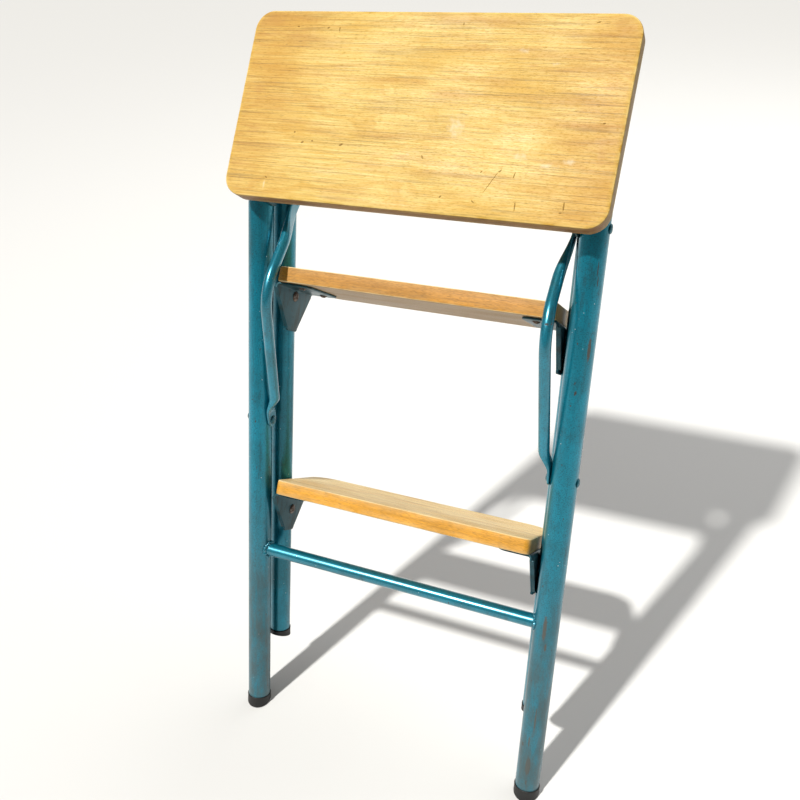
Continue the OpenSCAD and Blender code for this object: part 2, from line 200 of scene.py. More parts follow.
class Graph:
    """Short calls that build one material's nodes."""

    def __init__(self, name):
        self.material = bpy.data.materials.new(name)
        self.material.use_nodes = True
        self.nodes = self.material.node_tree.nodes
        self.links = self.material.node_tree.links
        self.shader = self.nodes["Principled BSDF"]
        coordinates = self.nodes.new("ShaderNodeTexCoord")
        self.object = coordinates.outputs["Object"]
        # Noises that spots share, by scale
        self.ragged = {}

    def put(self, socket, value):
        if isinstance(value, bpy.types.NodeSocket):
            self.links.new(value, socket)
        elif hasattr(value, "__len__") and len(value) == 3 and len(socket.default_value) == 4:
            socket.default_value = (*value, 1)
        else:
            socket.default_value = value

    def node(self, kind, out=0, settings=None, **inputs):
        made = self.nodes.new(kind)
        for key, value in (settings or {}).items():
            setattr(made, key, value)
        for key, value in inputs.items():
            self.put(made.inputs[key.replace("_", " ")], value)
        return made.outputs[out]

    def math(self, operation, *values, clamp=False):
        made = self.nodes.new("ShaderNodeMath")
        made.operation, made.use_clamp = operation, clamp
        for socket, value in zip(made.inputs, values):
            self.put(socket, value)
        return made.outputs[0]

    def vector(self, operation, *values, out="Vector"):
        made = self.nodes.new("ShaderNodeVectorMath")
        made.operation = operation
        for socket, value in zip(made.inputs, values):
            self.put(socket, value)
        return made.outputs[out]

    def noise(self, vector, scale, detail=2.0, roughness=0.5, stretch=None):
        """Noise whose blots are long along an axis with a stretch under 1."""
        if stretch:
            vector = self.vector("MULTIPLY", vector, stretch)
        return self.node("ShaderNodeTexNoise", Vector=vector, Scale=scale,
                         Detail=detail, Roughness=roughness)

    def mix(self, factor, a, b, blend="MIX"):
        made = self.nodes.new("ShaderNodeMix")
        made.data_type, made.blend_type = "RGBA", blend
        for number, value in ((0, factor), (6, a), (7, b)):
            self.put(made.inputs[number], value)
        return made.outputs[2]

    def step(self, value, low, high, to_low=0.0, to_high=1.0):
        """Smooth step from to_low, where value is low, to to_high, where it is high."""
        return self.node("ShaderNodeMapRange", settings={"interpolation_type": "SMOOTHSTEP"},
                         Value=value, From_Min=low, From_Max=high, To_Min=to_low,
                         To_Max=to_high)

    def layers(self, colour, layers):
        """Mixes (value, low, high, share, tint) over colour: a share of tint where it is high."""
        for value, low, high, share, tint in layers:
            colour = self.mix(self.step(value, low, high, 0.0, share), colour, tint)
        return colour

    def over(self, colour, mask, share, tint):
        """colour, with a share of tint where mask is 1."""
        return self.mix(self.math("MULTIPLY", mask, share), colour, tint)

    def wear(self):
        return self.node("ShaderNodeAttribute", out="Fac", settings={"attribute_name": "wear"})

    def bump(self, height, distance, strength=1.0):
        return self.node("ShaderNodeBump", Height=height, Distance=distance,
                         Strength=strength)

    def spot(self, centre, radii, ragged=0.35, grain=900.0, turn=0.0, soft=0.3):
        """1 inside a ragged ellipsoid round centre, and 0 outside. Sizes are in mm.

        soft is the share of its radius over which it fades.
        """
        place = self.nodes.new("ShaderNodeMapping")
        place.vector_type = "TEXTURE"
        self.put(place.inputs["Vector"], self.object)
        self.put(place.inputs["Location"], [c * MM for c in centre])
        self.put(place.inputs["Rotation"], (0, 0, math.radians(turn)))
        self.put(place.inputs["Scale"], [r * MM for r in radii])
        reach = self.vector("LENGTH", place.outputs["Vector"], out="Value")
        if grain not in self.ragged:
            self.ragged[grain] = self.noise(self.object, grain, 2.0)
        edge = self.math("MULTIPLY_ADD", self.ragged[grain], ragged * 2, reach)
        return self.step(edge, 1.0 + ragged - soft, 1.0 + ragged, 1.0, 0.0)

    def most(self, *values):
        """The highest of values."""
        total = values[0]
        for value in values[1:]:
            total = self.math("MAXIMUM", total, value)
        return total

    def spots(self, places, **look):
        """1 inside any of the spots, which may be none."""
        return self.most(*[self.spot(*place, **look) for place in places] or [0.0])

    def finish(self, **inputs):
        for key, value in inputs.items():
            self.put(self.shader.inputs[key.replace("_", " ")], value)
        return self.material


# Colours are linear.
TEAL = (0.001, 0.245, 0.355)
TEAL_DULL = (0.005, 0.15, 0.205)
RUST = (0.065, 0.036, 0.016)


def paint(name, seed, rust=(), bare=(), dust_and_shade_top=0.0, dull_and_shade=0.0, gloss=0.35):
    """Worn teal enamel. rust and bare are (centre, radii) in mm of brown and of dark chips.

    dust_and_shade_top greys and darkens the lowest part of a leg, up to that height: partly dust,
    partly painted shade. dull_and_shade greys the whole piece: dull paint, and on the plates
    painted shade.
    gloss is the weight of its clear top coat.
    """
    g = Graph(name)
    shifted = g.vector("ADD", g.object, (seed, seed * 0.7, seed * 1.3))
    cloud = g.noise(shifted, 18.0, 4.0, 0.6)
    along = g.noise(shifted, 260.0, 3.0, stretch=(1.0, 1.0, 0.12))
    mottle = g.noise(shifted, 900.0, 3.0, 0.7)
    colour = g.layers(TEAL, (
        (cloud, 0.35, 0.75, 1.0, TEAL_DULL),
        (along, 0.5, 0.8, 0.35, (0.012, 0.25, 0.33)),
        (mottle, 0.46, 0.64, 0.55, (0.004, 0.055, 0.075)),
    ))
    # Specks of white paint
    cells = g.node("ShaderNodeTexVoronoi", out="Distance", Vector=shifted, Scale=150.0)
    sparse = g.noise(shifted, 55.0, 0.0)
    speck = g.math("MULTIPLY", g.step(cells, 0.06, 0.10, 1.0, 0.0), g.step(sparse, 0.58, 0.64))
    # Small chips down to brown metal, and grime in streaks along the tube
    chip = g.step(g.noise(shifted, 230.0, 3.0, 0.6, (1.0, 1.0, 0.45)), 0.69, 0.72)
    streaks = g.noise(shifted, 110.0, 5.0, 0.7, (1.0, 1.0, 0.2))
    grime_and_shade = g.step(streaks, 0.5, 0.75, 0.0, 0.5)
    # Painted shade: on the plates this greying all over stands in for shade; on the rivets it is
    # their dull paint.
    if dull_and_shade:
        grime_and_shade = g.math("ADD", grime_and_shade, dull_and_shade, clamp=True)
    colour = g.mix(grime_and_shade, colour, (0.014, 0.042, 0.047))
    brown = g.most(chip, g.spots(rust, ragged=0.5))
    dark = g.most(chip, g.spots(bare, ragged=0.25))
    rubbed = g.math("MULTIPLY", g.wear(), g.step(g.noise(shifted, 340.0, 3.0), 0.42, 0.6))
    colour = g.over(colour, speck, 0.85, (0.5, 0.68, 0.70))
    colour = g.over(colour, brown, 0.85, RUST)
    colour = g.over(colour, dark, 0.9, (0.02, 0.014, 0.01))
    colour = g.over(colour, rubbed, 0.6, (0.09, 0.075, 0.065))
    # Painted shade, partly: the lowest part of a leg is greyed and darkened as dust, and also for
    # the light falling off towards the floor.
    if dust_and_shade_top:
        height_up = g.node("ShaderNodeSeparateXYZ", out="Z", Vector=g.object)
        dust = g.math("MULTIPLY", g.step(height_up, 0.3 * dust_and_shade_top, dust_and_shade_top, 0.66, 0.0),
                      g.step(streaks, 0.3, 0.6, 0.4, 1.0))
        colour = g.mix(dust, colour, (0.085, 0.095, 0.085))
        grime_and_shade = g.math("MAXIMUM", grime_and_shade, dust)
    broken = g.math("MAXIMUM", brown, dark)
    metal = g.math("MULTIPLY", g.math("SUBTRACT", 1.0, broken), 0.55)
    rough = g.math("ADD", g.step(cloud, 0.3, 0.8, 0.27, 0.38), g.math("MULTIPLY", grime_and_shade, 0.2))
    rough = g.math("ADD", rough, g.math("MULTIPLY", broken, 0.35))
    peel = g.noise(shifted, 420.0, 2.0)
    height = g.math("SUBTRACT", g.math("MULTIPLY", peel, 0.15), broken)
    height = g.math("ADD", height, g.math("MULTIPLY", speck, 0.8))
    return g.finish(Base_Color=colour, Metallic=metal, Roughness=rough, Coat_Weight=gloss,
                    Coat_Roughness=0.22, Normal=g.bump(height, 0.00012, 0.7))


def darker(colour, red, green=None, blue=None):
    """A share of each channel, or one share of all three."""
    shares = (red, green or red, blue or red)
    return tuple(share * channel for share, channel in zip(shares, colour))


def wood(name, seed, top, deep, side, pale, marks=(), stains=(), scuffs=(), ends=0.0,
         rub=0.8):
    """Varnished beech with its grain along X, and marks listed for its top, in mm.

    A mark is a dark nick, a stain is brown and a scuff is pale. ends darkens the top near the
    short sides, and rub is how pale the corners are.
    """
    g = Graph(name)
    shifted = g.vector("ADD", g.object, (seed, seed * 0.6, seed * 1.7))
    # Growth rings, seen as long wavy bands
    sway = g.noise(shifted, 6.5, stretch=(1.0, 3.0, 3.0))
    parts = g.node("ShaderNodeSeparateXYZ", Vector=shifted)
    across, depth = parts.node.outputs["Y"], parts.node.outputs["Z"]
    ring_at = g.math("ADD", g.math("MULTIPLY_ADD", sway, 0.07, across),
                     g.math("MULTIPLY", depth, 0.8))
    bands = g.node("ShaderNodeTexNoise", settings={"noise_dimensions": "1D"},
                   W=ring_at, Scale=260.0, Detail=3.0, Roughness=0.65)
    # Fibres, pores and the short dark flecks of beech
    fibre = g.noise(shifted, 700.0, 4.0, 0.65, (0.018, 1.0, 1.0))
    pore = g.noise(shifted, 1700.0, 1.0, stretch=(0.12, 1.0, 1.0))
    hair = g.noise(shifted, 1150.0, 2.0, 0.6, (0.012, 1.0, 1.0))
    fleck = g.noise(shifted, 520.0, stretch=(0.16, 1.0, 1.0))
    patch = g.noise(shifted, 10.0, 5.0, 0.65, (1.0, 2.4, 2.4))
    streak = g.noise(shifted, 85.0, 3.0, 0.6, (0.10, 1.0, 1.0))
    brown = darker(deep, 0.35)
    colour = g.layers(top, (
        (bands, 0.32, 0.72, 0.7, deep), (fibre, 0.38, 0.72, 0.7, deep),
        (fibre, 0.5, 0.28, 0.5, pale), (patch, 0.46, 0.72, 0.8, deep),
        (patch, 0.48, 0.25, 0.4, pale), (streak, 0.5, 0.74, 0.6, darker(deep, 0.75, 0.62, 0.5)),
        (pore, 0.57, 0.72, 0.35, brown), (hair, 0.48, 0.72, 0.6, brown),
        (fleck, 0.66, 0.76, 0.45, brown),
    ))
    # The top is made darker near its short sides.
    if ends:
        from_end = g.math("ABSOLUTE", g.node("ShaderNodeSeparateXYZ", Vector=g.object))
        end_darkening = g.math("MULTIPLY_ADD", patch, 0.08, from_end)
        end_darkening = g.math("MULTIPLY", g.step(end_darkening, 0.14, 0.235), ends)
        colour = g.mix(end_darkening, colour, (0.88, 0.77, 0.52), "MULTIPLY")
    stain = g.spots(stains, ragged=0.8, grain=130.0, soft=1.2)
    colour = g.over(colour, stain, 0.45, darker(deep, 0.75, 0.6, 0.5))
    # Varnish is thicker and darker on the edge faces, and rubbed off their corners. Their colour
    # is partly
    # painted shade: the seat's and the upper tread's edge colours are darkened, and the end faces
    # are mixed to dark brown, for the shade they are in.
    facing = g.node("ShaderNodeSeparateXYZ", out="Z",
                    Vector=g.node("ShaderNodeTexCoord", out="Normal"))
    on_side = g.step(g.math("ABSOLUTE", facing), 0.75, 0.35)
    on_end = g.math("ABSOLUTE", facing.node.outputs["X"])
    edge_colour_and_shade = g.layers(side, (
        (fibre, 0.35, 0.7, 0.6, darker(side, 0.55)), (patch, 0.4, 0.75, 0.6, darker(side, 0.4)),
        (pore, 0.5, 0.66, 0.55, darker(side, 0.4)), (on_end, 0.6, 0.95, 0.8, brown),
    ))
    # The underside is painted dark brown: painted shade, for a face turned away from the light.
    colour = g.mix(g.step(facing, -0.6, -0.9, 0.0, 0.8), colour, (0.20, 0.11, 0.045))
    colour = g.mix(on_side, colour, edge_colour_and_shade)
    rub_noise = g.noise(shifted, 130.0, 3.0, 0.6, (0.35, 1.0, 1.0))
    rubbed = g.math("MULTIPLY", g.wear(), g.step(rub_noise, 0.25, 0.7))
    colour = g.over(colour, rubbed, rub, pale)
    scuff = g.spots(scuffs, ragged=0.9, grain=210.0, soft=1.3)
    colour = g.over(colour, scuff, 0.5, (0.88, 0.78, 0.58))
    nick = g.spots(marks)
    colour = g.over(colour, nick, 0.6, (0.10, 0.04, 0.014))
    rough = g.math("ADD", g.step(patch, 0.3, 0.7, 0.44, 0.54),
                   g.math("MULTIPLY", g.most(rubbed, nick, scuff), 0.25))
    height = g.math("SUBTRACT", g.math("MULTIPLY", fibre, -0.5), g.step(pore, 0.57, 0.70))
    height = g.math("SUBTRACT", height, g.math("MULTIPLY", nick, 3.0))
    return g.finish(Base_Color=colour, Roughness=rough, Specular_IOR_Level=0.35,
                    Normal=g.bump(height, 0.00006, 0.8))


def rubber(name):
    g = Graph(name)
    dust = g.step(g.noise(g.object, 160.0, 4.0, 0.65), 0.5, 0.8, 0.0, 0.5)
    colour = g.mix(dust, (0.006, 0.006, 0.006), (0.035, 0.031, 0.028))
    rough = g.step(dust, 0.0, 0.5, 0.55, 0.85)
    grain = g.noise(g.object, 1300.0, 2.0)
    return g.finish(Base_Color=colour, Roughness=rough, Normal=g.bump(grain, 0.0001, 0.5))


def plastic(name):
    g = Graph(name)
    haze = g.step(g.noise(g.object, 220.0, 3.0), 0.4, 0.7)
    colour = g.mix(haze, (0.012, 0.012, 0.013), (0.04, 0.04, 0.042))
    rough = g.step(haze, 0.0, 1.0, 0.35, 0.6)
    return g.finish(Base_Color=colour, Roughness=rough,
                    Normal=g.bump(g.noise(g.object, 900.0, 2.0), 0.00008, 0.4))


def steel(name, seed):
    """Rivets and screws, once bright, now brown."""
    g = Graph(name)
    shifted = g.vector("ADD", g.object, (seed, seed, seed))
    rust = g.step(g.noise(shifted, 420.0, 5.0, 0.7), 0.34, 0.62)
    colour = g.mix(rust, (0.20, 0.17, 0.15), (0.070, 0.030, 0.014))
    pits = g.noise(shifted, 1500.0, 3.0, 0.6)
    return g.finish(Base_Color=colour, Metallic=g.step(rust, 0.0, 1.0, 0.9, 0.25),
                    Roughness=g.step(rust, 0.0, 1.0, 0.38, 0.75),
                    Normal=g.bump(pits, 0.00012, 0.8))


# Marks on the seat's top face: places and half sizes in mm from its middle, with Y towards
# the back, and a turn in degrees.
TOP = 10
SEAT_NICKS = [
    ((x, y, TOP), (long, wide, 3), 0.35, 700.0, turn)
    for x, y, long, wide, turn in (
        (41, -82, 1.6, 0.9, 40), (74, -84, 2.2, 0.7, -35), (115, -85, 0.7, 4.5, 4),
        (109, -56, 0.6, 3.5, -12), (160, -81, 0.7, 4.8, 3), (158, -87, 1.8, 0.6, 10),
        (77, -55, 1.6, 0.6, 50), (95, -53, 2.0, 0.7, 55), (88, -64, 0.35, 14, -28),
        (182, -3, 1.6, 0.8, 20), (160, 90, 2.2, 0.6, 15), (31, 87, 0.5, 1.8, 0),
        (-118, -39, 2.0, 1.2, 35), (-107, -37, 1.2, 0.9, 0),
        (-74, -39, 2.6, 1.2, 25), (-152, -78, 1.8, 0.7, -30), (-114, 81, 1.7, 0.9, 20),
        (-101, 80, 0.7, 2.4, 0), (-129, -29, 1.2, 1.0, 0), (-149, 82, 1.6, 0.8, 0),
        (15, -45, 0.7, 2.2, 25),
    )
]
SEAT_STAINS = [
    ((x, y, TOP), (long, wide, 4))
    for x, y, long, wide in (
        (109, 48, 9, 2.2), (48, 66, 30, 2.5), (-8, -46, 9, 2.5), (20, -36, 13, 1.6),
        (-183, 15, 14, 8), (-180, -27, 12, 6), (-150, -6, 30, 2.5), (-110, 32, 46, 1.4),
        (-178, 88, 30, 9), (185, 86, 20, 11), (182, 30, 16, 9), (186, -30, 10, 16),
        (170, 8, 24, 3), (120, -70, 60, 1.4), (-60, -86, 50, 3), (90, -32, 26, 1.4),
        (-113, 31, 60, 1.5), (-180, 61, 30, 1.5),
    )
] + [((-166 + 5.2 * i, 90, TOP), (0.9, 5, 4)) for i in range(13)]
SEAT_SCUFFS = [
    ((x, y, TOP), (long, wide, 4))
    for x, y, long, wide in (
        (138, -45, 13, 4), (112, -38, 12, 5), (128, 50, 6, 2.5), (43, -14, 12, 16),
        (157, -40, 9, 4), (0, -44, 5, 2.5), (-153, -85, 1.6, 6), (96, 62, 9, 3),
    )
]

# Golden seat, and treads whose tops are paler: painted light, for the bright bounce from a wall
# behind.
# The seat's dark edge colour, and the upper tread's darker edge colour and fainter rubbing, are
# painted shade.
SEAT_WOOD = wood(
    "beech_seat", 3.0, top=(0.69, 0.495, 0.12), deep=(0.57, 0.325, 0.032),
    side=(0.22, 0.09, 0.015), pale=(0.84, 0.64, 0.25), marks=SEAT_NICKS,
    stains=SEAT_STAINS, scuffs=SEAT_SCUFFS, ends=1.0,
)
TREAD_WOOD = {
    step: wood(
        f"beech_{step}_tread", seed, top=(0.99, 0.80, 0.42), deep=(0.82, 0.52, 0.18),
        side=side, pale=(1.0, 0.90, 0.60), rub=rub,
    )
    for step, seed, side, rub in (
        ("upper", 11.0, (0.56, 0.25, 0.022), 0.25), ("lower", 19.0, (0.80, 0.37, 0.030), 0.45),
    )
}
RUBBER = rubber("black_rubber")
PLASTIC = plastic("black_plastic")
STEEL = steel("browned_steel", 5.0)
# Painted shade: the plates' paint is greyed dark all over for the shade they sit in under the
# treads and seat.
SHADED_PLATE_PAINT = paint("teal_plates_shaded", 7.0, dull_and_shade=0.8, gloss=0.2)
RIVET_PAINT = paint("painted_rivets", 13.0, dull_and_shade=0.55)


# ---- Legs, bar and feet ----------------------------------------------------------------


def along_leg(node, radius, origin_z):
    """Lowest and highest place of a CAD tube along its leg, from the point at origin_z."""
    low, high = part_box(node)
    rise = radius * math.sin(lean)
    return ((low.z + rise - origin_z) / math.cos(lean),
            (high.z - rise - origin_z) / math.cos(lean))


def pipe(radius, bottom, top):
    """Open tube with its ends slightly rounded."""
    lip = 0.4 * MM
    inner = radius - TUBE_WALL
    outline = [(inner, bottom)]
    outline += arc(radius - lip, bottom + lip, lip, -90, 0, 4)
    outline += [(radius, bottom + (top - bottom) * i / 12) for i in range(1, 12)]
    outline += arc(radius - lip, top - lip, lip, 0, 90, 4)
    outline += [(inner, top)]
    return Shape().lathe(outline, closed=True)


def plug(radius, top):
    """Domed cap with a flange, pushed into a tube's upper end."""
    dome, brim, round_r, bottom = 2 * MM, radius - 0.5 * MM, 0.8 * MM, top - 6 * MM
    outline = [(0.0, bottom), (radius - TUBE_WALL, bottom), (radius - TUBE_WALL, top),
               (brim, top)]
    outline += arc(brim - round_r, top + 0.7 * MM, round_r, 0, 60, 5)
    rim_r, rim_z = outline[-1]
    outline += [(rim_r * (1 - i / 6), rim_z + (top + dome - rim_z) * (1 - (1 - i / 6) ** 2))
                for i in range(1, 7)]
    return Shape().lathe(outline)


def foot(radius, top, sole_tilt, tube_r, sole_at):
    """Rubber ferrule: its sole is a plane through the axis at sole_at, tilted by sole_tilt."""
    toe, rim, cup = 2.2 * MM, 0.9 * MM, 5.4 * MM

    def tilted(ring_r, lift):
        """A ring at a height of lift above the sole, measured along the leg."""
        return [(x, y, sole_at - y * math.tan(sole_tilt) + lift)
                for x, y, _ in circle(ring_r, 0)]

    # Hollow under the sole, its tread and the toe
    rings = [tilted(radius * 0.2, 0.9 * MM), tilted(radius * 0.62, 0.7 * MM),
             tilted(radius * 0.7, 0.0)]
    rings += [tilted(r, z) for r, z in arc(radius - toe, toe, toe, -90, 0, 8)]
    # Above the toe the rings turn level towards the rim.
    for share in (0.35, 0.6, 0.85):
        level = top * share + sole_at * (1 - share)
        rings.append([(x, y, z * (1 - share) + level * share)
                      for x, y, z in tilted(radius - 0.25 * MM * share, toe)])
    rings += [circle(r, z) for r, z in arc(radius - rim, top - rim, rim, 0, 110, 7)]
    rings += [circle(tube_r, top - 0.5 * MM), circle(tube_r, top - cup)]
    return Shape().rings(rings)


front_low, front_high = along_leg("front_leg_right", front_r, 0)
rear_low, rear_high = along_leg("rear_leg_right", rear_r, rear_hinge.z)
foot_top = along_leg("front_foot_right", half_width("front_foot_right"), 0)[1]
rear_foot_top = along_leg("rear_foot_right", half_width("rear_foot_right"), rear_hinge.z)[1]

# Marks are at places and half sizes in mm from the front leg's sole, with Z along the leg.
LEG_RUST = [
    ((1, -14, 228), (2.3, 6, 18)), ((4, -13, 205), (1.2, 5, 6)), ((3, -14, 110), (0.9, 4, 18)),
    ((10, -10, 540), (1.6, 5, 14)), ((-1, -14, 80), (1.0, 4, 8)),
]
LEG_CHIPS = [
    ((1, -14, 47), (3.4, 6, 15)), ((1, -14, 24), (1.0, 4, 4)), ((9, -11, 618), (0.5, 4, 9)),
    ((10, -10, 606), (0.5, 4, 6)), ((-0.5, -14, 482), (0.9, 4, 1.1)),
]
# The front legs are greyed and darkened up to 0.36 m: partly dust, partly painted shade.
LEG_PAINT = {
    "left": paint("teal_left_leg", 1.0, dust_and_shade_top=0.36),
    "right": paint("teal_right_leg", 2.0, rust=LEG_RUST, bare=LEG_CHIPS, dust_and_shade_top=0.36),
}
REAR_PAINT = paint("teal_rear_legs", 4.0)
BAR_PAINT = paint("teal_bar", 6.0, gloss=1.0)

for side, sign in SIDES.items():
    at_front = FRONT @ moved(sign * front_x, 0, 0)
    at_rear = REAR @ moved(sign * rear_x, 0, 0)
    piece(f"front_tube_{side}", pipe(front_r, front_low, front_high), at_front,
          "front_frame", LEG_PAINT[side], [f"front_leg_{side}"])
    piece(f"rear_tube_{side}", pipe(rear_r, rear_low, rear_high), at_rear,
          "step_frame", REAR_PAINT, [f"rear_leg_{side}"])
    piece(f"front_cap_{side}", plug(front_r, front_high), at_front,
          "front_frame", PLASTIC, [f"front_plug_{side}"])
    piece(f"rear_cap_{side}", plug(rear_r, rear_high), at_rear,
          "step_frame", PLASTIC, [f"rear_plug_{side}"])
    piece(f"front_ferrule_{side}",
          foot(half_width("front_foot_right"), foot_top, -lean, front_r, 0), at_front,
          "front_frame", RUBBER, [f"front_foot_{side}"])
    piece(f"rear_ferrule_{side}",
          foot(half_width("rear_foot_right"), rear_foot_top, rear_lean, rear_r, -rear_len),
          at_rear, "step_frame", RUBBER, [f"rear_foot_{side}"])


def bar_end(y):
    """How far from the middle a point of the cross bar meets the leg's surface."""
    return front_x - math.sqrt(front_r ** 2 - y ** 2)


bar_low, bar_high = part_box("cross_bar")
bar_r = (bar_high.z - bar_low.z) / 2
bar_centre = FRONT.inverted() @ middle("cross_bar")


def cross_bar():
    """Tube along X whose ends are cut to the legs and sunk a little into them."""
    sink = 1 * MM
    section = [(y, z) for y, z, _ in circle(bar_r, 0, 48)]
    shares = [step / 12 - 1 for step in range(25)]
    return Shape().rings([[(share * (bar_end(y) + sink), y, z) for y, z in section]
                          for share in shares])


def weld(sign, size, lumps, seed):
    """Lumpy bead round the bar where it meets a leg."""
    along, around = 120, 14
    rings = []
    for i in range(along):
        a = 2 * math.pi * i / along
        y, z = bar_r * math.cos(a), bar_r * math.sin(a)
        outward = Vector((0, math.cos(a), math.sin(a)))
        # The bead's centre is a little out of the corner between bar and leg.
        from_corner = (outward - Vector((0.75, 0, 0))).normalized()
        centre = Vector((bar_end(y), y, z)) + from_corner * size * 0.15
        ripple = 1 + lumps * 0.5 * math.sin(a * 17 + 2 * math.sin(3 * a))
        ring = []
        for j in range(around):
            b = 2 * math.pi * j / around
            ray = outward * math.sin(b) - Vector((math.cos(b), 0, 0))
            bumpy = noise.noise((centre + ray * size) * 420 + Vector((seed, 0, 0)))
            point = centre + ray * size * (ripple + lumps * bumpy)
            ring.append((sign * point.x, point.y, point.z))
        rings.append(ring)
    return Shape().rings(rings + rings[:1], caps=False)


bar_place = FRONT @ moved(0, 0, bar_centre.z)
piece("cross_bar_tube", cross_bar(), bar_place, "front_frame", BAR_PAINT,
      ["cross_bar"])
for side, size, lumps in (("left", 2.3 * MM, 0.5), ("right", 1.7 * MM, 0.3)):
    piece(f"bar_weld_{side}", weld(SIDES[side], size, lumps, size * 1e4), bar_place,
          "front_frame", BAR_PAINT, sharp=60)


# ---- Boards ----------------------------------------------------------------------------


def board_frame(node, tilt):
    """Place of a tilted board's centre, and its width, depth and thickness, from its box."""
    low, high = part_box(node)
    size = high - low
    c, s = abs(math.cos(tilt)), abs(math.sin(tilt))
    spread = c * c - s * s
    depth = (size.y * c - size.z * s) / spread
    thick = (size.z * c - size.y * s) / spread
    return moved(*middle(node)) @ turned(tilt), size.x, depth, thick


def board(width, depth, thick, front_corner, back_corner, edge, seed):
    """Board with rounded corners and rubbed edges. Its front is at -Y.

    edge is the radius of its long rounding, and seed varies how it is rubbed.
    """
    flat_from, rub_in, rub_down = 5 * MM, 0.2 * MM, 0.12 * MM

    def outline(inset):
        points = []
        corners = ((1, -1, front_corner, -90), (1, 1, back_corner, 0),
                   (-1, 1, back_corner, 90), (-1, -1, front_corner, 180))
        for sx, sy, radius, start in corners:
            x = sx * (width / 2 - radius)
            y = sy * (depth / 2 - radius)
            points += arc(x, y, radius - inset, start, start + 90, 14)
        # Long edges get points of their own, so that wear can follow them.
        filled = []
        for p, q in zip(points, points[1:] + points[:1]):
            gap = math.dist(p, q)
            count = round(gap / (5 * MM)) if gap > 20 * MM else 1
            filled += [(p[0] + (q[0] - p[0]) * i / count, p[1] + (q[1] - p[1]) * i / count)
                       for i in range(count)]
        return filled

    def rounding(z, start, end):
        return [(x, height, 1 - abs(2 * (x / edge) - 1) * 0.7)
                for x, height in arc(edge, z, edge, start, end, 6)]

    # (inset, height, wear) from the underside to the top
    profile = [(flat_from, -thick / 2, 0.0), *rounding(edge - thick / 2, -90, -180),
               (0.0, 0.0, 0.0), *rounding(thick / 2 - edge, 180, 90),
               (flat_from, thick / 2, 0.0)]
    rings, wear = [], []
    for inset, height, rub in profile:
        ring = []
        for x, y in outline(inset):
            dent = noise.noise(Vector((x, y, height * 3)) * 90 + Vector((seed, 0, 0)))
            shrink = 1 - rub * rub_in * (0.5 + 0.5 * dent) / (width / 2)
            ring.append((x * shrink, y * shrink,
                         height - math.copysign(rub * rub_down * (1 + dent), height)))
        rings.append(ring)
        wear.append(rub)
    return Shape().rings(rings, wear)


seat_place, seat_w, seat_d, seat_t = board_frame("seat_board", seat_turn)
piece("seat_plank", board(seat_w, seat_d, seat_t, 20 * MM, 20 * MM, 1.8 * MM, 2.0),
      seat_place, "seat", SEAT_WOOD, ["seat_board"])
seat_under = (SEAT.inverted() @ seat_place).translation.z - seat_t / 2

tread_under = {}
for step in ("upper", "lower"):
    place, tread_w, tread_d, tread_t = board_frame(f"{step}_tread", -leg_spread)
    piece(f"{step}_plank", board(tread_w, tread_d, tread_t, 8 * MM, 28 * MM, 1.6 * MM, 7.0),
          place, "step_frame", TREAD_WOOD[step], [f"{step}_tread"])
    tread_under[step] = (STEPS.inverted() @ place).translation.z - tread_t / 2


# ---- Plates ----------------------------------------------------------------------------


def sheet_ring(low, high, thick, place):
    """Cross-section of a sheet in its own plane: Y from low to high, Z its thickness."""
    fillet = min(0.7 * MM, thick * 0.45, (high - low) * 0.45)
    corners = ((high, 1, 0), (low, -1, 90), (low, -1, 180), (high, 1, 270))
    ring = []
    for y, sy, start in corners:
        sz = 1 if start in (0, 90) else -1
        for cy, cz in arc(y - sy * fillet, sz * (thick / 2 - fillet), fillet,
                          start, start + 90, 4):
            ring.append(place @ Vector((0, cy, cz)))
    return ring


def bent_sheet(path):
    """Sheet swept along path: (x, z, angle, low y, high y, thickness) in order."""
    rings = []
    for x, z, angle, low, high, thick in path:
        place = moved(x, 0, z) @ Matrix.Rotation(angle, 4, "Y")
        rings.append(sheet_ring(low, high, thick, place))
    return Shape().rings(rings)


def quarter_bend(top, low, high):
    """Path of a plate that bends from under z = top to beside x = 0."""
    mid_r = BEND_R + PLATE_T / 2
    angles = [math.pi / 2 * i / 8 for i in range(9)]
    return [(-PLATE_T - BEND_R + mid_r * math.sin(a), top - PLATE_T - BEND_R + mid_r * math.cos(a),
             a, low, high, PLATE_T) for a in angles]


def rounded_end(length):
    """(distance from the edge, thickness) of a plate's rubbed free edge."""
    fillet = 0.8 * MM
    places = []
    for i in range(5):
        a = math.pi / 2 * i / 4
        thick = PLATE_T - 2 * fillet * (1 - math.sin(a))
        places.append((fillet * (1 - math.cos(a)), max(thick, 0.2 * PLATE_T)))
    return places + [(length, PLATE_T)]


EAR_R = 11 * MM
FLANGE_W, FLANGE_HALF = 28 * MM, 24 * MM
SCREW_Y = 15 * MM


